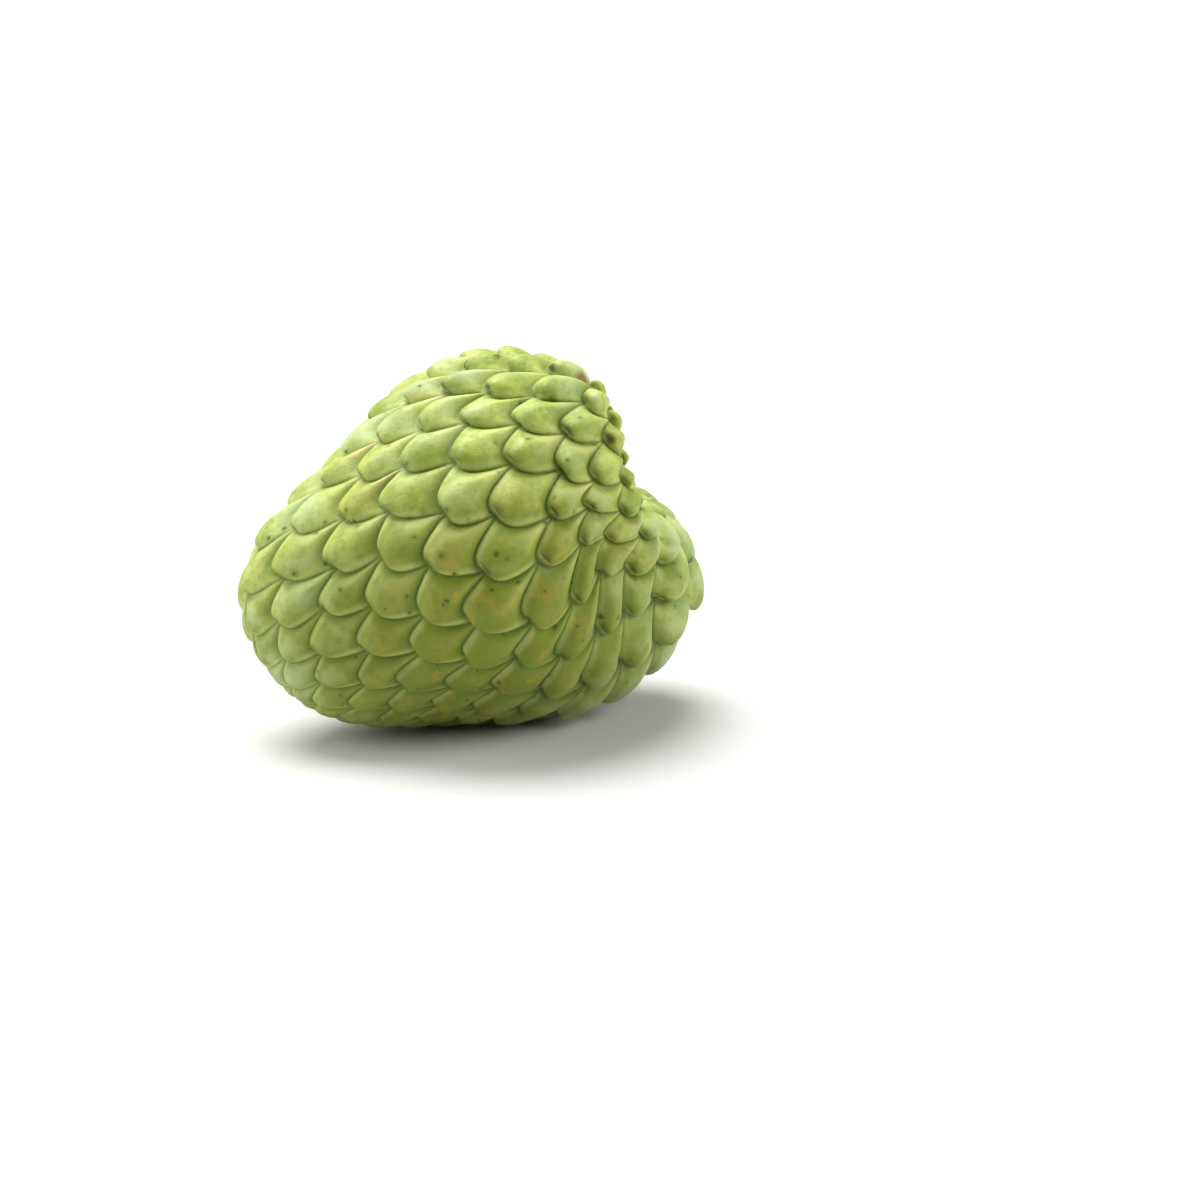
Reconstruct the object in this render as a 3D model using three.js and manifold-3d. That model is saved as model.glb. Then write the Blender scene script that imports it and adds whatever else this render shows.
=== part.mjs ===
// A custard apple of the atemoya kind: a large, lopsided, heart-shaped fruit covered in plump
// scales, lying on its flank with its stalk end raised to the right and its tip low at the left.
// Millimetres, +Z up. The fruit rests on z = 0, centred over the origin.
import * as THREE from "three";
import Module from "manifold-3d";

const wasm = await Module();
wasm.setup();

// ---- Driving dimensions -------------------------------------------------------------------
// Directions are given as azimuth (0 = right, 90 = back) and elevation, in degrees.

// The flesh: a ball that named bulges and hollows push out or pull in. Each one's height and
// the angle over which it dies away are its own.
const flesh = {
  centre: [4, 0, 43],
  radius: 40.2,
  bulges: {
    crown: { azimuth: 102, elevation: 66, height: 3.1, spread: 41 },
    highShoulder: { azimuth: -9, elevation: 53, height: 10, spread: 22 },
    lowShoulder: { azimuth: 23, elevation: -23, height: 14.5, spread: 29 },
    lowShoulderFoot: { azimuth: -19, elevation: -49, height: 5, spread: 25 },
    tipFlank: { azimuth: 201, elevation: -3, height: 16, spread: 25 },
    tipFoot: { azimuth: 215, elevation: -31, height: 12.5, spread: 26 },
    front: { azimuth: 265, elevation: 9, height: 7, spread: 40 },
    back: { azimuth: 91, elevation: 9, height: 4.5, spread: 39 },
    base: { azimuth: 197, elevation: -75, height: 2, spread: 32 },
    saddle: { azimuth: -4, elevation: 28, height: -4.5, spread: 14 },
  },
};

// The fruit's own axis runs from the tip up to the stalk. Round it are the hollow that the
// stalk sits in, the swell of the shoulders and the blunt nose at the tip.
const stem = { azimuth: 14.5, elevation: 37.5 };
const stalkHollow = { depth: 13.5, spread: 18 };
const shoulders = { height: 3, angle: 45, spread: 22 };
const nose = { height: 4.5, spread: 29 };

// The scales stand in rings round the axis. Each ring is set half a scale on from the last, so
// their edges also run in two families of spirals. Ring 0 is the widest and plus is stalkward.
const rings = {
  around: 16, // scales in each ring
  outer: 8, // rings on either side of the widest one
  widest: 93, // degrees from the stalk
  pitch: 12.6, // degrees between rings at the widest one
  evenness: 0.12, // 0 shrinks the rings with their girth, 1 keeps them equal
  turn: -23.5, // degrees that the first column is turned by
  twist: 0.04, // columns gained per ring
};

// In front of the low shoulder the columns lean over and crowd towards the stalk. Over the
// shoulder itself the rings part, so the scales there are long.
const lean = { column: 3, ring: 2.5, reach: 1.8, alongRing: -0.9, towardsStem: 0.6 };
const stretch = { column: 3.3, ring: 4.4, reach: 2.1, by: 0.75 };

// One scale. It is tucked under the two above it, swells like a cushion and ends in two free
// edges, left and right, that meet at its tip. Where a value is a pair, it is for those two.
const scale = {
  relief: 0.23, // height as a share of its width
  mostRelief: 3.1, // mm
  flatterAtTip: 0.05, // how much lower it is for each ring nearer the tip
  heightVaries: 0.15, // by this share either way
  crest: 0.42, // how far in from a free edge it is highest
  lipSoftness: [1, 0.75], // from 0.5, a full round lip, to 1, a flatter one
  fullness: 2.4, // higher keeps it plump for longer before it is tucked away
  roundness: [0.19, 0.15], // how far its free edges bulge, in scale widths
  bluntness: [0.5, 0.65], // under 1 puts the bulge nearer the tip
  unevenness: 0.1, // how far the corners where four scales meet wander
  tipRound: { pull: 0.11, reach: 0.22 }, // draws the tip back, over this much of each edge
  overhang: 0.3, // how far its lip leans over the next scale for each mm that it rises
  stations: [0, 0.1, 0.38, 0.75, 1], // where its mesh is divided, from the free edge up
};

const tip = { rise: 1.6 }; // the small point that the last scales close round
const stalk = {
  seatRadius: 5, // flat scar that the stalk stands on
  seatSink: 0.6, // how far the scar lies below the scales round it
  gap: 0.3, // clearance between the two solids
  sides: 16,
  // radius and height of the collar, the neck and the clean cut across the top
  profile: [[0, 0], [4.4, 0], [4.8, 0.9], [4.2, 2], [3.2, 3.2], [3, 5.4], [3.3, 6.6], [2.9, 7], [0, 7]],
};

// ---- The flesh ----------------------------------------------------------------------------
const degree = Math.PI / 180;

function towards(azimuth, elevation) {
  const level = Math.cos(elevation * degree);
  const x = level * Math.cos(azimuth * degree);
  const y = level * Math.sin(azimuth * degree);
  return new THREE.Vector3(x, y, Math.sin(elevation * degree));
}

function swell(angle, spread) {
  return Math.exp(-((angle / spread) ** 2));
}

const centre = new THREE.Vector3(...flesh.centre);
const stemAxis = towards(stem.azimuth, stem.elevation);
const sideAxis = new THREE.Vector3().crossVectors(stemAxis, new THREE.Vector3(0, 0, 1)).normalize();
const lowAxis = new THREE.Vector3().crossVectors(stemAxis, sideAxis);

function fleshRadius(direction) {
  const fromStem = direction.angleTo(stemAxis) / degree;
  let radius = flesh.radius;
  radius -= stalkHollow.depth * swell(fromStem, stalkHollow.spread);
  radius += shoulders.height * swell(fromStem - shoulders.angle, shoulders.spread);
  radius += nose.height * swell(180 - fromStem, nose.spread);
  for (const bulge of Object.values(flesh.bulges)) {
    const away = direction.angleTo(towards(bulge.azimuth, bulge.elevation)) / degree;
    radius += bulge.height * swell(away, bulge.spread);
  }
  return radius;
}

// ---- Where the scales stand ---------------------------------------------------------------
// A ring's angle from the stalk. The rings crowd together towards both ends of the axis.
function ringAngle(ring) {
  const steps = rings.pitch * degree * ring;
  const crowded = Math.atan(Math.sinh(steps));
  const share = (crowded + rings.evenness * (steps - crowded)) / (Math.PI / 2);
  const side = share >= 0 ? rings.widest : 180 - rings.widest;
  return (rings.widest - side * share) * degree;
}

// From 1 at a place among the scales down to 0 well away from it, on either side of the fruit.
function nearness(place, column, ring) {
  const half = rings.around / 2;
  const aside = THREE.MathUtils.euclideanModulo(column - place.column + half, rings.around) - half;
  return Math.exp(-((aside ** 2 + (ring - place.ring) ** 2) / place.reach ** 2));
}

function pointOnFlesh(column, evenRing) {
  const leant = nearness(lean, column, evenRing);
  const stretched = stretch.by * (evenRing - stretch.ring) * nearness(stretch, column, evenRing);
  const ring = evenRing + lean.towardsStem * leant + stretched;
  const turn = column + lean.alongRing * leant + rings.twist * ring;
  const angle = ringAngle(ring);
  const round = rings.turn * degree + (2 * Math.PI * turn) / rings.around;
  const direction = stemAxis.clone().multiplyScalar(Math.cos(angle));
  direction.addScaledVector(sideAxis, Math.sin(angle) * Math.cos(round));
  direction.addScaledVector(lowAxis, Math.sin(angle) * Math.sin(round));
  return direction.clone().multiplyScalar(fleshRadius(direction)).add(centre);
}

// ---- One scale ----------------------------------------------------------------------------
// A number from 0 to 1 that is a scale's own, however far round the fruit it is counted from.
function ownNumber(diagonals, seed) {
  const round = THREE.MathUtils.euclideanModulo(diagonals[0] - diagonals[1], 2 * rings.around);
  const ring = diagonals[0] + diagonals[1];
  const value = Math.sin(round * 12.9898 + ring * 78.233 + seed * 37.719) * 43758.5453;
  return value - Math.floor(value);
}

// Its height from 0 to 1, where t runs from one free edge up to the tucked one opposite.
function liftAlong(t, side) {
  const toCrest = Math.max(0, 1 - t / scale.crest);
  const pastCrest = Math.max(0, (t - scale.crest) / (1 - scale.crest));
  return (1 - toCrest ** 2) ** scale.lipSoftness[side] - pastCrest ** scale.fullness;
}

// Each free edge bulges by its own amount, which changes over the scale to the next one's.
function bulgeAlong(diagonals, u, v, side) {
  const [depth, along] = side === 0 ? [u, v] : [v, u];
  const next = side === 0 ? [diagonals[0] + 1, diagonals[1]] : [diagonals[0], diagonals[1] + 1];
  const own = THREE.MathUtils.lerp(ownNumber(diagonals, 1 + side), ownNumber(next, 1 + side), depth);
  return Math.sin(Math.PI * along ** scale.bluntness[side]) * scale.roundness[side] * (0.6 + 0.8 * own);
}

// A scale stretches between its four corners, which are each a little out of place.
function wander(diagonals, u, v, seed) {
  let total = 0;
  for (const [a, b] of [[0, 0], [1, 0], [0, 1], [1, 1]]) {
    const weight = (a ? u : 1 - u) * (b ? v : 1 - v);
    total += weight * (ownNumber([diagonals[0] + a, diagonals[1] + b], seed) - 0.5);
  }
  return 2 * scale.unevenness * total;
}

function drawBack(depth, along) {
  const inside = (along > 0 && depth > 0 ? 1 : 0) * (1 - depth);
  return scale.tipRound.pull * inside * Math.exp(-depth / 0.4 - (along / scale.tipRound.reach) ** 2);
}

function pointOnScale(diagonals, u, v) {
  const left = u - bulgeAlong(diagonals, u, v, 0) + wander(diagonals, u, v, 5) + drawBack(u, v);
  const right = v - bulgeAlong(diagonals, u, v, 1) + wander(diagonals, u, v, 6) + drawBack(v, u);
  const first = diagonals[0] - 0.5 + left;
  const second = diagonals[1] - 0.5 + right;
  const column = (first - second) / 2;
  const ring = first + second;
  const point = pointOnFlesh(column, ring);
  const step = 0.02;
  const across = pointOnFlesh(column + step, ring).sub(point).divideScalar(step);
  const stemward = pointOnFlesh(column, ring + step).sub(point).divideScalar(step);
  const outward = new THREE.Vector3().crossVectors(across, stemward).normalize();
  const height = Math.min(scale.mostRelief, scale.relief * across.length());
  const varied = 1 + scale.heightVaries * (2 * ownNumber(diagonals, 3) - 1);
  const rise = height * varied * (1 + scale.flatterAtTip * ring) * liftAlong(u, 0) * liftAlong(v, 1);
  point.addScaledVector(outward, rise);
  return point.addScaledVector(stemward.normalize(), -scale.overhang * rise);
}

// ---- The skin: every scale's patch joined to its neighbours' ------------------------------
function makeSkin() {
  const points = [];
  const faces = [];
  const known = new Map();
  const divisions = scale.stations.length - 1;
  const roundCount = 2 * rings.around * divisions;
  const stemEdge = new Array(roundCount);
  const tipEdge = new Array(roundCount);

  function vertexOf(diagonals, a, b) {
    const i = diagonals[0] * divisions + a;
    const j = diagonals[1] * divisions + b;
    const round = THREE.MathUtils.euclideanModulo(i - j, roundCount);
    const key = `${round},${i + j}`;
    if (!known.has(key)) {
      known.set(key, points.length);
      points.push(pointOnScale(diagonals, scale.stations[a], scale.stations[b]));
    }
    return { index: known.get(key), round };
  }

  for (let ring = -rings.outer; ring <= rings.outer; ring++) {
    for (let n = 0; n < rings.around; n++) {
      const column = n + (Math.abs(ring) % 2) / 2;
      const diagonals = [ring / 2 + column, ring / 2 - column];
      for (let a = 0; a < divisions; a++) {
        for (let b = 0; b < divisions; b++) {
          const corners = [[a, b], [a + 1, b], [a + 1, b + 1], [a, b + 1]];
          const [p, q, r, s] = corners.map((corner) => vertexOf(diagonals, ...corner).index);
          faces.push([p, q, r], [p, r, s]);
        }
      }
      for (let a = 0; a <= divisions; a++) {
        for (const corner of [[divisions, a], [a, divisions]]) {
          const { index, round } = vertexOf(diagonals, ...corner);
          if (ring === rings.outer) stemEdge[round] = index;
        }
        for (const corner of [[0, a], [a, 0]]) {
          const { index, round } = vertexOf(diagonals, ...corner);
          if (ring === -rings.outer) tipEdge[round] = index;
        }
      }
    }
  }
  return { points, faces, stemEdge, tipEdge };
}

// The tip: the last ring's edge is drawn together to one raised point.
function closeTip({ points, faces, tipEdge }) {
  const direction = stemAxis.clone().negate();
  const radius = fleshRadius(direction) + tip.rise;
  const peak = points.push(direction.multiplyScalar(radius).add(centre)) - 1;
  tipEdge.forEach((corner, k) => faces.push([tipEdge[(k + 1) % tipEdge.length], corner, peak]));
}

// The scar: a flat disc, square to the axis, in the bottom of the hollow. Returns its middle.
function closeStemEnd({ points, faces, stemEdge }) {
  const heights = stemEdge.map((corner) => points[corner].clone().sub(centre).dot(stemAxis));
  const level = Math.min(...heights) - stalk.seatSink;
  const middle = stemAxis.clone().multiplyScalar(level).add(centre);
  const rim = stemEdge.map((corner) => {
    const spoke = points[corner].clone().sub(middle).projectOnPlane(stemAxis);
    return points.push(spoke.setLength(stalk.seatRadius).add(middle)) - 1;
  });
  const hub = points.push(middle.clone()) - 1;
  stemEdge.forEach((corner, k) => {
    const next = (k + 1) % stemEdge.length;
    faces.push([corner, stemEdge[next], rim[k]], [stemEdge[next], rim[next], rim[k]]);
    faces.push([rim[k], rim[next], hub]);
  });
  return middle;
}

// ---- The flat spot that it rests on -------------------------------------------------------
function toSolid(points, faces) {
  const vertProperties = new Float32Array(points.flatMap((point) => point.toArray()));
  const triVerts = new Uint32Array(faces.flat());
  return new wasm.Manifold(new wasm.Mesh({ numProp: 3, vertProperties, triVerts }));
}

function toGeometry(solid) {
  const { vertProperties, triVerts } = solid.getMesh();
  const geometry = new THREE.BufferGeometry();
  geometry.setAttribute("position", new THREE.BufferAttribute(new Float32Array(vertProperties), 3));
  geometry.setIndex([...triVerts]);
  return geometry;
}

// Everything below z = 0 is taken off with a slab.
function slabBelowGround() {
  const size = 4 * flesh.radius;
  const corners = [];
  for (const z of [-size, 0]) {
    for (const [x, y] of [[-1, -1], [1, -1], [1, 1], [-1, 1]]) {
      corners.push(new THREE.Vector3(x * size, y * size, z));
    }
  }
  const quads = [[3, 2, 1, 0], [4, 5, 6, 7], [0, 1, 5, 4], [1, 2, 6, 5], [2, 3, 7, 6], [3, 0, 4, 7]];
  return toSolid(corners, quads.flatMap(([a, b, c, d]) => [[a, b, c], [a, c, d]]));
}

// ---- The pieces ---------------------------------------------------------------------------
function makeFruit() {
  const skin = makeSkin();
  closeTip(skin);
  const scar = closeStemEnd(skin);
  const geometry = toGeometry(toSolid(skin.points, skin.faces).subtract(slabBelowGround()));
  const material = new THREE.MeshStandardMaterial({ color: "#93a557", roughness: 0.55 });
  const fruit = new THREE.Mesh(geometry, material);
  fruit.name = "fruit";
  return { fruit, scar };
}

function makeStalk(scar) {
  const profile = stalk.profile.map(([radius, height]) => new THREE.Vector2(radius, height));
  const geometry = new THREE.LatheGeometry(profile, stalk.sides);
  const material = new THREE.MeshStandardMaterial({ color: "#6b5638", roughness: 0.85 });
  const stub = new THREE.Mesh(geometry, material);
  stub.name = "stalk_stub";
  stub.quaternion.setFromUnitVectors(new THREE.Vector3(0, 1, 0), stemAxis);
  stub.position.copy(scar).addScaledVector(stemAxis, stalk.gap);
  return stub;
}

const { fruit, scar } = makeFruit();
const custardApple = new THREE.Group();
custardApple.add(fruit, makeStalk(scar));

// The middle of its footprint goes over the origin.
const box = new THREE.Box3().setFromObject(custardApple, true);
custardApple.position.set(-(box.min.x + box.max.x) / 2, -(box.min.y + box.max.y) / 2, 0);

export default custardApple;
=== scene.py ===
import math
import bmesh
import bpy
import numpy as np
from mathutils import Matrix, Vector


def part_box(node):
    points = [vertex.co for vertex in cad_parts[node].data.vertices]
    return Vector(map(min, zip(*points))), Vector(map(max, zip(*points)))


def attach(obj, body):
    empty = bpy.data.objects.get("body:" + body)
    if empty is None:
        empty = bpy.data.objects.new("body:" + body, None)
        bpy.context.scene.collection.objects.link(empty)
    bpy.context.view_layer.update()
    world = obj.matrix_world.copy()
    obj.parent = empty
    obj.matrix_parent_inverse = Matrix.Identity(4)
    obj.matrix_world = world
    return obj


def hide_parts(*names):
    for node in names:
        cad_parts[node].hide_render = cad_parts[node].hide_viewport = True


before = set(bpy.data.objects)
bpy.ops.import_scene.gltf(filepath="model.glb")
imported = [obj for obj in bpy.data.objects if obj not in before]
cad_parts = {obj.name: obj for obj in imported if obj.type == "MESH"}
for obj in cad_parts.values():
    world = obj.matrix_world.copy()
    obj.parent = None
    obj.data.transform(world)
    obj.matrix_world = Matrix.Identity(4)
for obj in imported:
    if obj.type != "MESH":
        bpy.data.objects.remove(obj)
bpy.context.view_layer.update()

mm = 0.001


def deselectAll():
    if bpy.context.object and bpy.context.object.mode != "OBJECT":
        bpy.ops.object.mode_set(mode="OBJECT")
    bpy.ops.object.select_all(action="DESELECT")


def activate(piece):
    deselectAll()
    piece.select_set(True)
    bpy.context.view_layer.objects.active = piece


def applyAll(piece):
    activate(piece)
    for modifier in list(piece.modifiers):
        bpy.ops.object.modifier_apply(modifier=modifier.name)


def linear(hexColour):
    parts = [int(hexColour[i:i + 2], 16) / 255 for i in (1, 3, 5)]
    return [c / 12.92 if c <= 0.04045 else ((c + 0.055) / 1.055) ** 2.4 for c in parts] + [1.0]


def perMillimetre(size):
    return 1 / (size * mm)


def fillSockets(node, sockets):
    # each socket, by name or number, gets a value, or a link written as (node, output)
    for name, value in sockets.items():
        if isinstance(value, tuple) and isinstance(value[0], bpy.types.Node):
            node.id_data.links.new(value[0].outputs[value[1]], node.inputs[name])
        else:
            node.inputs[name].default_value = value


def addNode(material, kind, settings=None, sockets=None):
    node = material.node_tree.nodes.new(kind)
    for name, value in (settings or {}).items():
        setattr(node, name, value)
    fillSockets(node, sockets or {})
    return node


flesh = {                            # in millimetres and degrees, as the fruit's solid has it
    "centre": (4.0, 0.0, 43.0),
    "radius": 40.2,
    "stem": (14.5, 37.5),            # azimuth and elevation of the stalk end
    "hollow": (13.5, 18.0),          # depth and spread of the stalk hollow
    "shoulders": (3.0, 45.0, 22.0),  # height, angle from the stalk, spread
    "nose": (4.5, 29.0),             # height and spread at the tip
    "bulges": [                      # azimuth, elevation, height, spread
        (102, 66, 3.1, 41),         # crown
        (-9, 53, 10, 22),           # high shoulder
        (23, -23, 14.5, 29),        # low shoulder
        (-19, -49, 5, 25),          # low shoulder's foot
        (201, -3, 16, 25),          # tip flank
        (215, -31, 12.5, 26),       # tip's foot
        (265, 9, 7, 40),            # front
        (91, 9, 4.5, 39),           # back
        (197, -75, 2, 32),          # base
        (-4, 28, -4.5, 14),         # saddle between the shoulders
    ],
}

rings = {
    "around": 16,          # scales in each ring
    "first": -10,          # rings, counted from the widest one: minus is towards the tip
    "last": 8,
    "widest": 93.0,        # degrees from the stalk
    "pitch": 12.6,         # degrees between rings there
    "evenness": 0.12,      # 0 lets the rings crowd at both ends, 1 keeps them as far apart
    "turn": -23.5,         # degrees the columns are turned about the stalk
    "twist": 0.04,         # columns they drift for each ring
    "leanAt": (3.0, 2.5),  # column and ring where the columns lean
    "leanReach": 1.8,
    "leanBy": (-0.9, 0.6),
    "longAt": (3.3, 4.4),  # and where the scales are drawn out, over the low shoulder
    "longReach": 2.1,
    "longBy": 0.75,
}


def towards(azimuth, elevation):
    a, e = math.radians(azimuth), math.radians(elevation)
    return np.array([math.cos(e) * math.cos(a), math.cos(e) * math.sin(a), math.sin(e)])


def degreesFrom(directions, axis):
    return np.degrees(np.arccos(np.clip(directions @ axis, -1, 1)))


def swell(angle, spread):
    return np.exp(-(angle / spread) ** 2)


stemAxis = towards(*flesh["stem"])
sideAxis = np.cross(stemAxis, (0, 0, 1))
sideAxis /= np.linalg.norm(sideAxis)
lowAxis = np.cross(stemAxis, sideAxis)


def fleshRadius(directions):
    fromStem = degreesFrom(directions, stemAxis)
    radius = np.full(len(directions), flesh["radius"])
    radius -= flesh["hollow"][0] * swell(fromStem, flesh["hollow"][1])
    radius += flesh["shoulders"][0] * swell(fromStem - flesh["shoulders"][1], flesh["shoulders"][2])
    radius += flesh["nose"][0] * swell(180 - fromStem, flesh["nose"][1])
    for azimuth, elevation, height, spread in flesh["bulges"]:
        radius += height * swell(degreesFrom(directions, towards(azimuth, elevation)), spread)
    return radius


def ringAngle(ring):
    # how far a ring is from the stalk: rings crowd towards both ends, so that scales keep their shape
    steps = np.radians(rings["pitch"]) * ring
    crowded = np.arctan(np.sinh(steps))
    share = (crowded + rings["evenness"] * (steps - crowded)) / (math.pi / 2)
    side = np.where(share >= 0, rings["widest"], 180 - rings["widest"])
    return np.radians(rings["widest"] - side * share)


def nearTo(column, ring, at, reach):
    # 1 at that column and ring, and less with the distance, counted in scales
    half = rings["around"] / 2
    aside = (column - at[0] + half) % rings["around"] - half
    return np.exp(-(aside ** 2 + (ring - at[1]) ** 2) / reach ** 2)


def pointOnFlesh(column, ring):
    lean = nearTo(column, ring, rings["leanAt"], rings["leanReach"])
    long = nearTo(column, ring, rings["longAt"], rings["longReach"])
    ring = ring + rings["leanBy"][1] * lean + rings["longBy"] * (ring - rings["longAt"][1]) * long
    turn = column + rings["leanBy"][0] * lean + rings["twist"] * ring
    angle = ringAngle(ring)
    heading = math.radians(rings["turn"]) + 2 * math.pi * turn / rings["around"]
    directions = (np.cos(angle)[:, None] * stemAxis
                  + (np.sin(angle) * np.cos(heading))[:, None] * sideAxis
                  + (np.sin(angle) * np.sin(heading))[:, None] * lowAxis)
    return np.array(flesh["centre"]) + directions * fleshRadius(directions)[:, None]


scale = {                          # lengths are shares of its side, unless they are in mm
    "rows": [0, 0.012, 0.03, 0.055, 0.09, 0.13, 0.18, 0.24, 0.31, 0.39, 0.48, 0.57, 0.66, 0.75,
             0.84, 0.91, 0.965, 1],  # where a patch is divided, from a free edge to the tucked one
    "relief": 0.23,                # height as a share of the scale's width
    "mostRelief": 2.9,             # mm
    "reliefVaries": (0.85, 0.3),   # each has at least so much of that, and up to so much more
    "flatterAtTip": 0.07,          # how much lower it is for each ring nearer the tip
    "plumpest": 2.5,               # the ring where that starts
    "plumper": 0.3,                # how much higher it is on the low shoulder
    "crest": 0.42,                 # how far in from the free edge it is highest
    "lipSoftness": (1.0, 0.75),    # left and right lips, from 0.5, full and round, to 1, flatter
    "fullness": 2.4,               # how plump it stays before it is tucked away
    "rim": 0.015,                  # the raised edge, as a share of the height
    "rimAt": 0.075,                # how far in from the edge it runs
    "roundness": (0.25, 0.21),     # how far its left and right free edges bulge
    "roundnessVaries": (0.6, 0.8),
    "bluntness": (0.6, 0.71),      # under 1 the bulge sits nearer the tip
    "unevenness": 0.1,             # how far each scale's corners wander
    "overhang": 0.3,               # mm that the lip leans out for each mm of height
    "tipRound": (0.11, 0.22),      # how far the tip is drawn back, and along how much of each edge
    "tipFade": (0.04, 0.4),        # how near the edges that stops, and how far in it is felt
    "groove": (0.2, 0.04),         # mm that the grooves are sunk, and how wide they are
    "pit": (0.5, 0.09),            # the same for the pits where four scales meet
    "grooveWidth": 20.0,           # mm across a scale with grooves that deep: they go by its size
    "weld": 0.003,                 # mm within which neighbours' edges are one
}


def liftAlong(t, side):
    # the height at a share t of the way in from one of the two free edges
    toCrest = 1 - np.clip(t / scale["crest"], 0, 1)
    pastCrest = np.clip((t - scale["crest"]) / (1 - scale["crest"]), 0, 1)
    fromEdge = (t / scale["rimAt"]) ** 2
    rim = scale["rim"] * fromEdge * np.exp(1 - fromEdge)
    return (1 - toCrest ** 2) ** scale["lipSoftness"][side] - pastCrest ** scale["fullness"] + rim


def drawBack(depth, along):
    # rounds the tip off, which leaves a small pit in front of it, and keeps every edge where it is
    pull, reach = scale["tipRound"]
    start, fade = scale["tipFade"]
    inside = np.clip(depth / start, 0, 1) * np.clip(along / start, 0, 1) * (1 - depth)
    return pull * inside * np.exp(-depth / fade) * np.exp(-(along / reach) ** 2)


def sunk(u, v):
    # how deep the grooves and pits are, for a scale of the usual width
    (grooveDepth, grooveReach), (pitDepth, pitReach) = scale["groove"], scale["pit"]
    toEdge = np.minimum(np.minimum(u, 1 - u), np.minimum(v, 1 - v))
    toCorner = np.hypot(np.minimum(u, 1 - u), np.minimum(v, 1 - v))
    return grooveDepth * np.exp(-toEdge / grooveReach) + pitDepth * np.exp(-(toCorner / pitReach) ** 2)


def hashed(first, second, seed):
    # one number from 0 to 1 for each scale, by its place along the two families of spirals
    # it is the usual sine hash, made the same where the sheet meets itself
    around = np.mod(first - second, 2 * rings["around"])
    value = np.sin(around * 12.9898 + (first + second) * 78.233 + seed * 37.719) * 43758.5453
    return value - np.floor(value)


def bulgeAlong(first, second, u, v, side):
    # a free edge bulges by its own amount, so this blends from the scale's own edge to the next one's
    depth, along = (u, v) if side == 0 else (v, u)
    here = hashed(first, second, 1 + side)
    ahead = hashed(first + (side == 0), second + (side == 1), 1 + side)
    shape = np.sin(np.pi * along ** scale["bluntness"][side]) * scale["roundness"][side]
    least, more = scale["roundnessVaries"]
    return shape * (least + more * (here + (ahead - here) * depth))


def wander(first, second, u, v, seed):
    # the corners where four scales meet are shifted a little, and each scale stretches between its own
    total = 0
    for a in (0, 1):
        for b in (0, 1):
            weight = (u if a else 1 - u) * (v if b else 1 - v)
            total = total + weight * (hashed(first + a, second + b, seed) - 0.5)
    return 2 * scale["unevenness"] * total


def makeSheet():
    # one scale's patch, repeated as a flat sheet whose X and Y are the two families of spirals
    rows = scale["rows"]
    cells = len(rows) - 1
    deselectAll()
    bpy.ops.mesh.primitive_grid_add(x_subdivisions=cells, y_subdivisions=cells, size=1,
                                    location=(0, 0, 0))
    sheet = bpy.context.object
    for corner in sheet.data.vertices:  # the rows crowd towards the lip
        corner.co.x = rows[round((corner.co.x + 0.5) * cells)]
        corner.co.y = rows[round((corner.co.y + 0.5) * cells)]
    pairs = (rings["last"] - rings["first"] + 2) // 2
    for amount, offset in ((2, (1, 0, 0)), (pairs, (1, 1, 0)), (rings["around"], (1, -1, 0))):
        repeat = sheet.modifiers.new("repeat", "ARRAY")
        repeat.use_relative_offset = False
        repeat.use_constant_offset = True
        repeat.constant_offset_displace = offset
        repeat.count = amount
    applyAll(sheet)
    bpy.ops.object.mode_set(mode="EDIT")
    bpy.ops.mesh.select_mode(type="FACE")
    bpy.ops.mesh.select_all(action="DESELECT")
    bpy.ops.object.mode_set(mode="OBJECT")
    for face in sheet.data.polygons:  # two rings come at a time, so the one too many goes
        face.select = face.index // cells ** 2 % (2 * pairs) > rings["last"] - rings["first"]
    bpy.ops.object.mode_set(mode="EDIT")
    bpy.ops.mesh.delete(type="FACE")
    bpy.ops.object.mode_set(mode="OBJECT")
    return sheet


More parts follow.
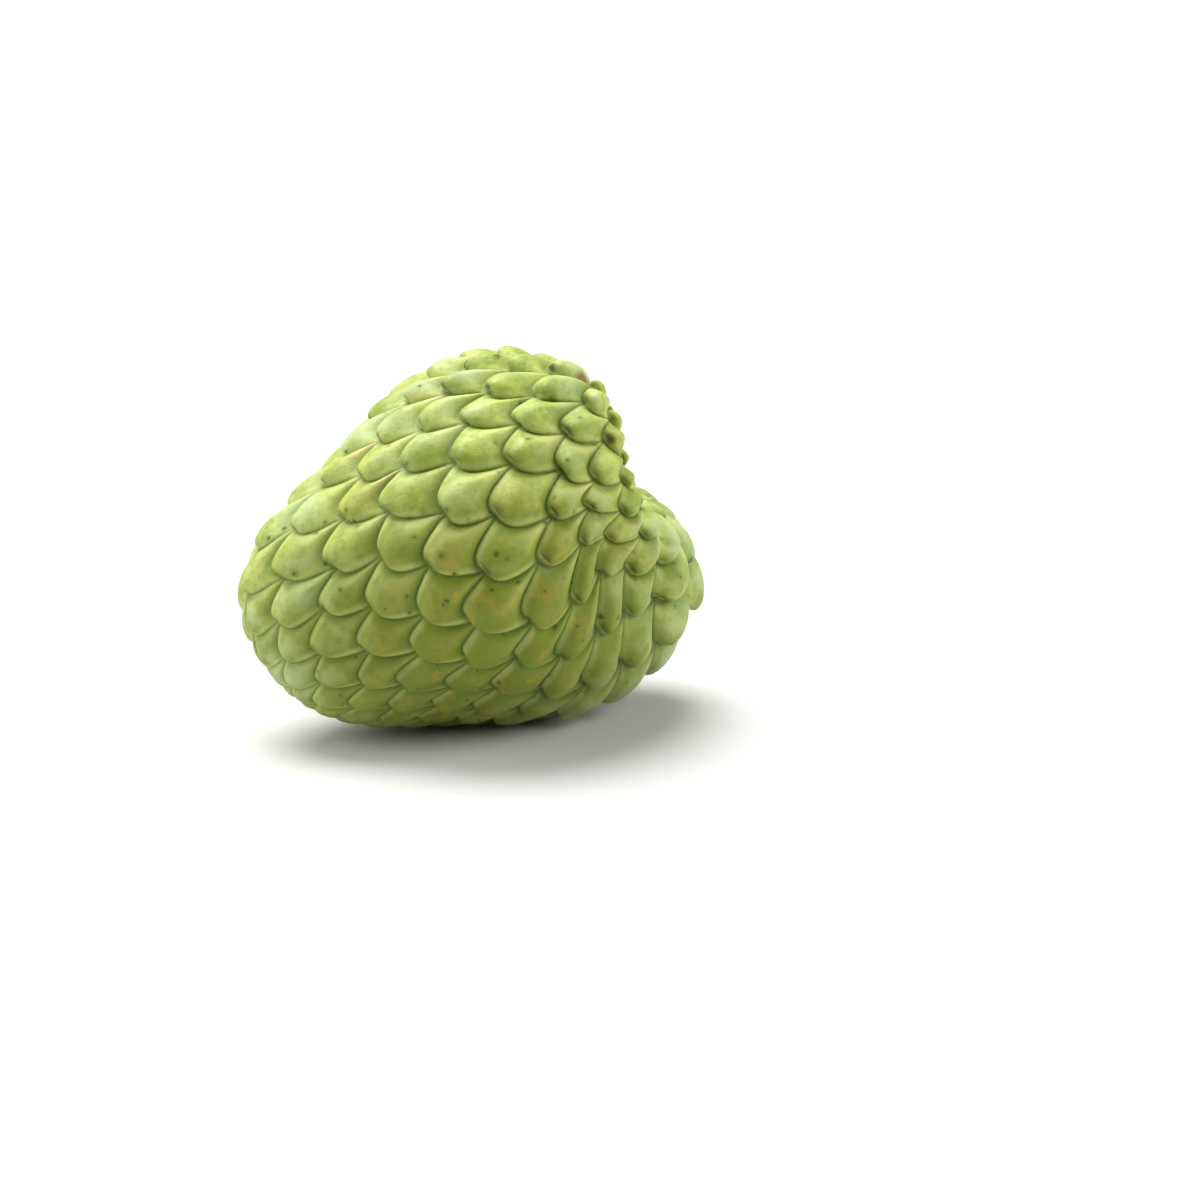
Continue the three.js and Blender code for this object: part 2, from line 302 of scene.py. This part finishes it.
def wrapSheet(sheet):
    # lays the flat sheet round the flesh, raises each scale from it and joins them
    mesh = sheet.data
    perScale = len(scale["rows"]) ** 2
    flat = np.empty(len(mesh.vertices) * 3)
    mesh.vertices.foreach_get("co", flat)
    flat = flat.reshape(-1, perScale, 3)
    tile = np.rint(flat.min(axis=1, keepdims=True))  # which scale each point belongs to
    u, v = (flat - tile)[..., 0], (flat - tile)[..., 1]
    first = np.broadcast_to(tile[..., 0], u.shape) + rings["first"] / 2
    second = np.broadcast_to(tile[..., 1], v.shape) + rings["first"] / 2
    least, more = scale["reliefVaries"]
    lift = liftAlong(u, 0) * liftAlong(v, 1) * (least + more * hashed(first, second, 3))
    p = first - 0.5 + u - bulgeAlong(first, second, u, v, 0) + wander(first, second, u, v, 5)
    q = second - 0.5 + v - bulgeAlong(first, second, u, v, 1) + wander(first, second, u, v, 6)
    p, q = p + drawBack(u, v), q + drawBack(v, u)
    column, ring = ((p - q) / 2).ravel(), (p + q).ravel()
    step = 0.02  # of a scale, to find which way the flesh slopes
    base = pointOnFlesh(column, ring)
    across = (pointOnFlesh(column + step, ring) - base) / step
    stemward = (pointOnFlesh(column, ring + step) - base) / step
    outward = np.cross(across, stemward)
    outward /= np.linalg.norm(outward, axis=1, keepdims=True)
    width = np.linalg.norm(across, axis=1)
    stemward /= np.linalg.norm(stemward, axis=1, keepdims=True)
    rise = np.minimum(scale["mostRelief"], scale["relief"] * width) * lift.ravel()
    rise = rise * (1 + scale["flatterAtTip"] * np.minimum(ring, scale["plumpest"]))
    rise = rise * (1 + scale["plumper"] * nearTo(column, ring, rings["longAt"], rings["longReach"]))
    rise = rise - sunk(u, v).ravel() * width / scale["grooveWidth"]
    places = base + outward * rise[:, None] - stemward * (scale["overhang"] * rise)[:, None]
    mesh.vertices.foreach_set("co", (places * mm).ravel())
    return u.ravel(), v.ravel(), first.ravel(), second.ravel()


def markScales(skin, u, v, first, second):
    # the finish reads where it is on a scale from this map, and how each scale differs from two numbers
    mesh = skin.data
    corner = np.empty(len(mesh.loops), int)
    mesh.loops.foreach_get("vertex_index", corner)
    layer = mesh.uv_layers.new(name="scalePlace")
    layer.uv.foreach_set("vector", np.stack([u[corner], v[corner]], 1).ravel())
    for name, seed in (("scaleTone", 7), ("scaleWarmth", 8)):
        mark = mesh.attributes.new(name, "FLOAT", "CORNER")
        mark.data.foreach_set("value", hashed(first, second, seed)[corner])


def closeEnd(skin, axis, steps):
    # draws the open edge at one end of the axis in, ring by ring, to a point
    # each step has a radius and a height along the axis from the open edge's middle, in mm
    middle = Vector(flesh["centre"]) * mm
    activate(skin)
    bpy.ops.object.mode_set(mode="EDIT")
    bpy.ops.mesh.select_mode(type="EDGE")
    bpy.ops.mesh.select_all(action="DESELECT")
    edit = bmesh.from_edit_mesh(skin.data)
    edge = [e for e in edit.edges if e.is_boundary and (e.verts[0].co - middle).dot(axis) > 0]
    for e in edge:
        e.select_set(True)
    rim = {corner for e in edge for corner in e.verts}
    lowest = min((corner.co - middle).dot(axis) for corner in rim)
    for radius, height in steps:
        bpy.ops.mesh.extrude_edges_move()
        edit = bmesh.from_edit_mesh(skin.data)
        level = lowest + height * mm
        for corner in edit.verts:
            if corner.select:
                away = corner.co - middle
                away -= axis * away.dot(axis)
                corner.co = middle + axis * level + away.normalized() * radius * mm
        bmesh.update_edit_mesh(skin.data)
    bpy.ops.mesh.merge(type="CENTER")
    bpy.ops.object.mode_set(mode="OBJECT")
    return middle + axis * level


ends = {    # radius and height in mm of each step that closes the skin there
    "tip": [(1.9, 0.6), (1.1, 1.0), (0.4, 1.1)],
    "scar": [(5.6, -0.35), (5.0, -0.6), (3.0, -0.62), (1.0, -0.62)],  # under the stalk
}


def makeFruit():
    skin = makeSheet()
    skin.name = skin.data.name = "scaledFruit"
    print("fruit: one scale repeated over a flat sheet")
    places = wrapSheet(skin)
    markScales(skin, *places)
    activate(skin)
    bpy.ops.object.mode_set(mode="EDIT")
    bpy.ops.mesh.select_all(action="SELECT")
    bpy.ops.mesh.remove_doubles(threshold=scale["weld"] * mm)
    bpy.ops.object.mode_set(mode="OBJECT")
    axis = Vector(stemAxis)
    closeEnd(skin, -axis, ends["tip"])
    scar = closeEnd(skin, axis, ends["scar"])
    print("fruit: wrapped, joined and closed, %d faces" % len(skin.data.polygons))
    return skin, scar


def fitToSolid(skin, node, scar):
    # puts its flat spot on the floor, makes its box the solid's, and takes the scar's place along
    low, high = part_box(node)
    places = np.empty(len(skin.data.vertices) * 3)
    skin.data.vertices.foreach_get("co", places)
    places = places.reshape(-1, 3)
    places[:, 2] = np.maximum(places[:, 2], 0)
    least, most = places.min(0), places.max(0)
    ratio = (np.array(high) - np.array(low)) / (most - least)
    places = np.array(low) + (places - least) * ratio
    skin.data.vertices.foreach_set("co", places.ravel())
    skin.data.update()
    print("fruit: fitted to its solid by %.4f, %.4f, %.4f" % tuple(ratio))
    return Vector(np.array(low) + (np.array(scar) - least) * ratio)


fruit, scar = makeFruit()
scar = fitToSolid(fruit, "fruit", scar)
activate(fruit)
bpy.ops.object.shade_smooth()


rind = {
    "green": "#8B9E2E",
    "deepGreen": "#698019",
    "light": "#B4BE50",
    "yellow": "#AFA42C",
    "olive": "#6C7412",
    "amber": "#9A8C1E",
    "base": "#C6CC76",                  # of a scale, towards its tucked end: partly its own paler colour, partly a painted highlight where that side faces up, more of it higher on the fruit
    "blush": "#CDA86C",                 # a few scales have it there
    # pale band inside a scale's free edges: a painted highlight where the raised lip catches light
    "rim": "#BFCD7E",
    # painted shade for the grooves and for the pits where four scales meet
    "groove": "#3F5012",
    "bloom": "#A9BA86",
    "speck": "#434510",
    "bruise": "#6F4A35",
    "cork": "#8A7446",                  # round the stalk
    "noises": {                         # mm across one patch, detail, roughness
        "patches": (7.0, 3.0, 0.5),
        "mottle": (2.2, 3.0, 0.6),
        "grain": (1.0, 3.0, 0.7),
        "bloomPatches": (14.0, 2.0, 0.5),
        "blotches": (4.5, 3.0, 0.6),
        "pores": (0.7, 2.0, 0.5),       # coarser than real ones, which are too fine to show
        "ragged": (1.4, 2.0, 0.5),      # shifts the edges of the specks and the bruise
    },
    "raggedness": 1.2,                  # mm that it shifts them
    "speckSpacing": 9.0,                # mm
    "fineSpeckSpacing": 4.2,
    "ripeShadeAt": (6, -41, 32),           # mm, the middle of its ripest part, which is partly its own olive and partly painted shade
    "bruiseAt": (27.6, -8.0, 88.2),     # mm, on the crown
    "spotAt": (0.18, 0.17, 0),          # on a scale's own map, the spot near its tip
    # what steers the colours, each worked out from those above it. "between" goes softly from
    # its third number to its fourth while its source goes from the first to the second
    # places and distances on the fruit are in metres
    "values": [
        ("free", "MINIMUM", "u", "v"),                              # 0 at a scale's free edges
        ("buried", "MAXIMUM", "u", "v"),                            # 1 at its tucked edges
        ("bothWays", "ADD", "u", "v"),
        ("along", "MULTIPLY", "bothWays", 0.5),                     # 0 at its tip, 1 at the other end
        ("asideU", "PINGPONG", "u", 0.5),
        ("asideV", "PINGPONG", "v", 0.5),
        ("squareU", "POWER", "asideU", 2.0),
        ("squareV", "POWER", "asideV", 2.0),
        ("squares", "ADD", "squareU", "squareV"),
        ("fromCorner", "SQRT", "squares"),
        # the ripest part: its own olive, blotches and specks, with painted shade over it
        ("ripe", "between", "fromRipeShade", 0.015, 0.062, 1, 0),
        ("outsideRipeAndShaded", "SUBTRACT", 1.0, "ripe"),
        ("onShoulder", "between", "x", 0.028, 0.046, 0, 1),         # the low one
        ("shadeDeeper", "MAXIMUM", "ripe", "onShoulder"),                # where the painted shade in the grooves and under the lips is darker
        ("inPatches", "between", "patches", 0.39, 0.61, 0, 1),
        ("inMottle", "between", "mottle", 0.45, 0.7, 0, 0.5),
        ("tipShade", "between", "along", 0.02, 0.4, 0.72, 0),
        ("yellowScale", "between", "scaleWarmth", 0.55, 1, 0, 1),
        ("yellowPatches", "between", "patches", 0.4, 0.62, 0.1, 0.5),
        ("darkGrain", "between", "grain", 0.5, 0.68, 0, 0.34),
        ("lightGrain", "between", "grain", 0.32, 0.46, 0.32, 0),
        # painted shade: more olive towards the bottom
        ("shadeBelow", "between", "z", 0.01, 0.06, 0.5, 0),
        ("darkBlotches", "between", "blotches", 0.48, 0.68, 0, 0.75),
        ("amberBlotches", "between", "blotches", 0.32, 0.46, 0.55, 0),
        ("inBloom", "between", "bloomPatches", 0.42, 0.66, 0.1, 0.6),
        ("offLips", "between", "free", 0.04, 0.3, 0.35, 1.2),       # the bloom is rubbed off them
        ("towardsEnd", "between", "along", 0.5, 0.9, 0, 1),
        ("paleScale", "between", "scaleTone", 0, 1, 0.25, 0.8),
        ("higher", "between", "z", 0.03, 0.075, 0.2, 1),
        ("nearEnd", "between", "along", 0.6, 0.85, 0, 1),
        ("blushScale", "between", "scaleWarmth", 0.5, 0.95, 0, 0.5),
        ("onTop", "between", "z", 0.05, 0.075, 0, 1),
        ("offEdge", "between", "free", 0, 0.04, 0, 1),
        ("byEdge", "between", "free", 0.04, 0.16, 1, 0),
        ("shadowUnderNext", "between", "buried", 0.8, 1, 0, 1),           # painted shadow, where the next scale lies over it
        ("nextShade", "MULTIPLY_ADD", "shadeDeeper", 0.4, 0.42),
        # painted shade along a scale's lips and tucked edges, and in the pits where four scales meet
        ("atLip", "between", "free", 0, 0.03, 1, 0),
        ("atNext", "between", "buried", 0.95, 1, 0, 1),
        ("atEdges", "MAXIMUM", "atLip", "atNext"),
        ("edgeShade", "MULTIPLY_ADD", "shadeDeeper", 0.4, 0.3),
        ("shadedEdges", "MULTIPLY", "atEdges", "edgeShade"),
        ("pitShade", "between", "fromCorner", 0.015, 0.07, 0.6, 0),
        ("grooveShade", "MAXIMUM", "shadedEdges", "pitShade"),
        ("amberRing", "between", "fromSpot", 0.05, 0.19, 0.55, 0),
        ("amberScale", "between", "scaleWarmth", 0.55, 0.8, 0, 1),
        ("spotEdge", "MULTIPLY_ADD", "mottle", -0.22, 0.13),        # makes the spot ragged
        ("fromSpotEdge", "ADD", "fromSpot", "spotEdge"),
        ("inSpot", "between", "fromSpotEdge", 0.04, 0.22, 0.9, 0),
        ("spottedTone", "between", "scaleTone", 0.5, 0.8, 0, 1),
        ("spottedRipe", "MULTIPLY", "ripe", 0.8),
        ("spottedScale", "MAXIMUM", "spottedTone", "spottedRipe"),
        ("speckledPatches", "between", "patches", 0.44, 0.56, 1, 0.15),
        ("speckled", "MAXIMUM", "speckledPatches", "ripe"),
        ("fromSpeck", "DIVIDE", "speckDistance", "speckSize"),      # each speck has its own size
        ("roundSpeck", "between", "fromSpeck", 0.16, 0.3, 0.45, 0),
        ("inSpeck", "between", "fromSpeck", 0.08, 0.16, 0.8, 0),
        ("fromFineSpeck", "DIVIDE", "fineSpeckDistance", "fineSpeckSize"),
        ("roundFineSpeck", "between", "fromFineSpeck", 0.22, 0.5, 0.45, 0),
        ("inFineSpeck", "between", "fromFineSpeck", 0.11, 0.22, 0.8, 0),
        ("inBruise", "between", "fromBruise", 0.001, 0.0032, 0.85, 0),
        ("inCork", "between", "fromScar", 0.005, 0.009, 0.9, 0),
        ("shine", "between", "mottle", 0.3, 0.7, 0.45, 0.64),       # roughness
    ],
    "layers": [     # laid over green in this order, each colour by the product of the values after it
        ("light", "inPatches"),
        ("deepGreen", "inMottle"),
        # painted shade, darker towards each scale's tip
        ("deepGreen", "tipShade"),
        ("yellow", "yellowScale", "yellowPatches"),
        ("deepGreen", "darkGrain"),
        ("light", "lightGrain"),
        # painted shade, more olive towards the bottom
        ("olive", "shadeBelow"),
        # olive there, partly the ripe skin's colour and partly painted shade
        ("olive", "ripe", 0.75),
        ("deepGreen", "darkBlotches", "ripe"),
        ("amber", "amberBlotches", "ripe"),
        ("bloom", "inBloom", "outsideRipeAndShaded", "offLips"),
        # pale tucked ends: their own colour with a painted highlight, stronger higher up
        ("base", "towardsEnd", "paleScale", "higher"),
        ("blush", "nearEnd", "blushScale", "onTop"),
        # painted highlight along the free edges
        ("rim", "offEdge", "byEdge", 0.42),
        # painted shadow under the next scale's lip
        ("deepGreen", "shadowUnderNext", "nextShade"),
        # painted shade in the grooves and pits
        ("groove", "grooveShade"),
        ("amber", "amberRing", "amberScale"),
        ("speck", "inSpot", "spottedScale"),
        ("deepGreen", "roundSpeck", "speckled"),
        ("speck", "inSpeck", "speckled"),
        ("deepGreen", "roundFineSpeck", "speckled"),
        ("speck", "inFineSpeck", "speckled"),
        ("bruise", "inBruise"),
        ("cork", "inCork"),
    ],
    "bumps": [("pores", 0.5, 0.1), ("mottle", 0.6, 0.35)],  # strength, and height in mm
    "wax": {
        "IOR": 1.4,
        "Sheen Weight": 0.05,
        "Sheen Roughness": 0.45,
        "Subsurface Weight": 0.12,
        "Subsurface Radius": (1.0, 1.2, 0.4),
        "Subsurface Scale": 1.5 * mm,
    },
}


def makeRind(scarPlace):
    # waxy skin of a ripe fruit: mottled green under a satin bloom, so a broad soft shine
    material = bpy.data.materials.new("waxyRind")
    material.use_nodes = True
    place = addNode(material, "ShaderNodeTexCoord"), "Object"
    onScale = addNode(material, "ShaderNodeUVMap", {"uv_map": "scalePlace"}), "UV"
    axes = addNode(material, "ShaderNodeSeparateXYZ", sockets={"Vector": place})
    uv = addNode(material, "ShaderNodeSeparateXYZ", sockets={"Vector": onScale})
    values = {"x": (axes, "X"), "z": (axes, "Z"), "u": (uv, "X"), "v": (uv, "Y")}
    for name in ("scaleTone", "scaleWarmth"):
        values[name] = addNode(material, "ShaderNodeAttribute", {"attribute_name": name}), "Fac"
    for name, (size, detail, roughness) in rind["noises"].items():
        noise = addNode(material, "ShaderNodeTexNoise", sockets={
            "Vector": place, "Scale": perMillimetre(size), "Detail": detail, "Roughness": roughness})
        values[name] = noise, "Fac"
    shifted = addNode(material, "ShaderNodeVectorMath", {"operation": "MULTIPLY_ADD"}, {
        0: (values["ragged"][0], "Color"), 1: [rind["raggedness"] * mm] * 3, 2: place}), "Vector"
    for name in ("speck", "fineSpeck"):
        cells = addNode(material, "ShaderNodeTexVoronoi", {"feature": "F1"},
                        {"Vector": shifted, "Scale": perMillimetre(rind[name + "Spacing"])})
        values[name + "Distance"] = cells, "Distance"
        values[name + "Size"] = cells, "Color"
    for name, source, middle in (("fromRipeShade", place, Vector(rind["ripeShadeAt"]) * mm),
                                 ("fromBruise", shifted, Vector(rind["bruiseAt"]) * mm),
                                 ("fromScar", place, scarPlace),
                                 ("fromSpot", onScale, Vector(rind["spotAt"]))):
        away = addNode(material, "ShaderNodeVectorMath", {"operation": "DISTANCE"}, {0: source, 1: middle})
        values[name] = away, "Value"
    for name, work, *terms in rind["values"]:
        sockets = {number: values.get(term, term) for number, term in enumerate(terms)}
        if work == "between":
            node = addNode(material, "ShaderNodeMapRange", {"interpolation_type": "SMOOTHSTEP"}, sockets)
            values[name] = node, "Result"
        else:
            node = addNode(material, "ShaderNodeMath", {"operation": work}, sockets)
            values[name] = node, "Value"
    under = linear(rind["green"])
    for colour, first, *others in rind["layers"]:
        amount = values[first]
        for other in others:
            amount = addNode(material, "ShaderNodeMath", {"operation": "MULTIPLY"},
                             {0: amount, 1: values.get(other, other)}), "Value"
        under = addNode(material, "ShaderNodeMix", {"data_type": "RGBA"},
                        {0: amount, 6: under, 7: linear(rind[colour])}), 2
    surface = {}
    for height, strength, depth in rind["bumps"]:  # each on top of the one before
        bump = addNode(material, "ShaderNodeBump", None, {
            "Height": values[height], "Strength": strength, "Distance": depth * mm, **surface})
        surface = {"Normal": (bump, "Normal")}
    shader = material.node_tree.nodes["Principled BSDF"]
    fillSockets(shader, {"Base Color": under, "Roughness": values["shine"], **surface, **rind["wax"]})
    print("rind: %d nodes" % len(material.node_tree.nodes))
    return material


fruit.data.materials.append(makeRind(scar))
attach(fruit, "root")
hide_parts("fruit")


stalk = {
    "steps": [(4.1, 0), (4.6, 0.5), (4.7, 1.1), (4.2, 1.9), (3.4, 2.9), (3.05, 4.0), (3.0, 5.2),
              (3.25, 6.2), (3.3, 6.6), (3.0, 6.9), (2.7, 6.95), (1.5, 6.85),
              (0.4, 6.95)],     # radius and height in mm
    "sides": 72,
    "ridges": 9,                # lengthwise ridges in the bark
    "ridgeHeight": 0.035,       # as a share of the radius
    "ridgeTwist": 0.25,         # radians for each mm up
    "unevenness": 0.03,         # how far it is from round, as a share of the radius
    "lobes": [(2, 1.3), (5, 0.4)],  # how often it bulges round the stub, and where
    "bark": "#6B5638",
    "barkDark": "#43321F",
    "cut": "#9C8458",
    "cutFrom": (6.55, 6.85),    # mm up the stub, where the bark gives way to the cut end
    "crack": 1.2,               # mm between cracks
    "crackDetail": 4.0,
    "crackBump": (0.8, 0.3),    # strength, and height in mm
    "roughness": 0.85,
}


def makeStalk(scarPlace):
    # a disc drawn up step by step, then set in the hollow along the fruit's axis
    deselectAll()
    bpy.ops.mesh.primitive_circle_add(vertices=stalk["sides"], radius=stalk["steps"][0][0] * mm,
                                      fill_type="NGON", location=(0, 0, 0))
    stub = bpy.context.object
    stub.name = stub.data.name = "stalkStub"
    bpy.ops.object.mode_set(mode="EDIT")
    bpy.ops.mesh.select_mode(type="EDGE")
    bpy.ops.mesh.select_all(action="SELECT")
    for radius, height in stalk["steps"][1:]:
        bpy.ops.mesh.extrude_edges_move()
        edit = bmesh.from_edit_mesh(stub.data)
        for corner in edit.verts:
            if corner.select:
                turn = math.atan2(corner.co.y, corner.co.x)
                along = stalk["ridges"] * turn + stalk["ridgeTwist"] * height
                ridge = 1 + stalk["ridgeHeight"] * math.sin(along)
                lobes = sum(math.sin(often * turn + where) for often, where in stalk["lobes"])
                ridge += stalk["unevenness"] * lobes
                corner.co = Vector((math.cos(turn), math.sin(turn), 0)) * radius * ridge * mm
                corner.co.z = height * mm
        bmesh.update_edit_mesh(stub.data)
    bpy.ops.mesh.merge(type="CENTER")
    bpy.ops.mesh.select_all(action="SELECT")
    bpy.ops.mesh.normals_make_consistent(inside=False)
    bpy.ops.object.mode_set(mode="OBJECT")
    turned = Matrix((Vector(sideAxis), Vector(lowAxis), Vector(stemAxis))).transposed().to_4x4()
    stub.data.transform(Matrix.Translation(scarPlace) @ turned)
    return stub


def makeBark(scarPlace):
    # dry corky bark: matt, with dark cracks, and paler wood where it was cut
    material = bpy.data.materials.new("dryBark")
    material.use_nodes = True
    place = addNode(material, "ShaderNodeTexCoord"), "Object"
    cracks = addNode(material, "ShaderNodeTexNoise", None, {
        "Vector": place, "Scale": perMillimetre(stalk["crack"]), "Detail": stalk["crackDetail"]}), "Fac"
    bark = addNode(material, "ShaderNodeMix", {"data_type": "RGBA"},
                   {0: cracks, 6: linear(stalk["barkDark"]), 7: linear(stalk["bark"])}), 2
    upStalk = addNode(material, "ShaderNodeVectorMath", {"operation": "DOT_PRODUCT"},
                      {0: place, 1: stemAxis}), "Value"
    cutFrom, cutTo = (Vector(stemAxis).dot(scarPlace) + height * mm for height in stalk["cutFrom"])
    atCut = addNode(material, "ShaderNodeMapRange", None,
                    {"Value": upStalk, "From Min": cutFrom, "From Max": cutTo}), "Result"
    wood = addNode(material, "ShaderNodeMix", {"data_type": "RGBA"},
                   {0: atCut, 6: bark, 7: linear(stalk["cut"])}), 2
    strength, depth = stalk["crackBump"]
    rough = addNode(material, "ShaderNodeBump", None,
                    {"Height": cracks, "Strength": strength, "Distance": depth * mm}), "Normal"
    shader = material.node_tree.nodes["Principled BSDF"]
    fillSockets(shader, {"Base Color": wood, "Roughness": stalk["roughness"], "Normal": rough})
    return material


stub = makeStalk(scar)
stub.data.materials.append(makeBark(scar))
activate(stub)
bpy.ops.object.shade_smooth()
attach(stub, "root")
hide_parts("stalk_stub")
print("stalk: %d faces" % len(stub.data.polygons))


studio = {
    "floor": "#CFCFCD",
    "floorSize": 14.0,  # m
    "floorRoughness": 0.8,
    "suns": [           # name, azimuth and elevation it comes from, strength, degrees across
        ("key", 120, 66, 4.9, 50),   # above and behind, a little left
        ("leftSide", 182, 28, 2.1, 60),
        ("rightSide", -8, 30, 2.2, 40),
    ],
    "room": 0.1,        # strength of the light from all round
}


def makeFloor():
    deselectAll()
    bpy.ops.mesh.primitive_plane_add(size=studio["floorSize"], location=(0, 0, 0))
    floor = bpy.context.object
    floor.name = "floor"
    material = bpy.data.materials.new("paperSweep")  # matt paper: no glare, a soft shadow
    material.use_nodes = True
    fillSockets(material.node_tree.nodes["Principled BSDF"],
                {"Base Color": linear(studio["floor"]), "Roughness": studio["floorRoughness"]})
    floor.data.materials.append(material)


def addSun(name, azimuth, elevation, strength, angle):
    light = bpy.data.lights.new(name, "SUN")
    light.energy = strength
    light.angle = math.radians(angle)
    sun = bpy.data.objects.new(name, light)
    bpy.context.scene.collection.objects.link(sun)
    sun.rotation_euler = (-Vector(towards(azimuth, elevation))).to_track_quat("-Z", "Y").to_euler()


def makeLights():
    for sun in studio["suns"]:
        addSun(*sun)
    room = bpy.data.worlds.new("room")
    room.use_nodes = True
    fillSockets(room.node_tree.nodes["Background"],
                {"Color": (1, 1, 1, 1), "Strength": studio["room"]})
    bpy.context.scene.world = room
    bpy.context.scene.view_settings.view_transform = "Standard"


camera = {
    "lens": 85,
    "elevation": 15,                # degrees above the floor
    "distance": 708.3,              # mm
    "aim": (-1.335, 0.668, 46.7),   # mm, the fruit's middle
    "aside": (32.35, -16.75),       # mm that the view's middle is right and up of it
    "nearest": 10.0,                # mm, what is nearer isn't drawn
}


def makeCamera():
    elevation = math.radians(camera["elevation"])
    ahead = Vector((0, math.cos(elevation), -math.sin(elevation)))
    upward = Vector((0, math.sin(elevation), math.cos(elevation)))
    right, up = camera["aside"]
    target = Vector(camera["aim"]) + Vector((right, 0, 0)) + upward * up
    lens = bpy.data.cameras.new("camera")
    lens.lens = camera["lens"]
    lens.clip_start = camera["nearest"] * mm
    view = bpy.data.objects.new("camera", lens)
    bpy.context.scene.collection.objects.link(view)
    view.location = (target - ahead * camera["distance"]) * mm
    view.rotation_euler = (math.radians(90 - camera["elevation"]), 0, 0)
    bpy.context.scene.camera = view


makeFloor()
makeLights()
makeCamera()
print("studio: floor, %d suns and the camera" % len(studio["suns"]))
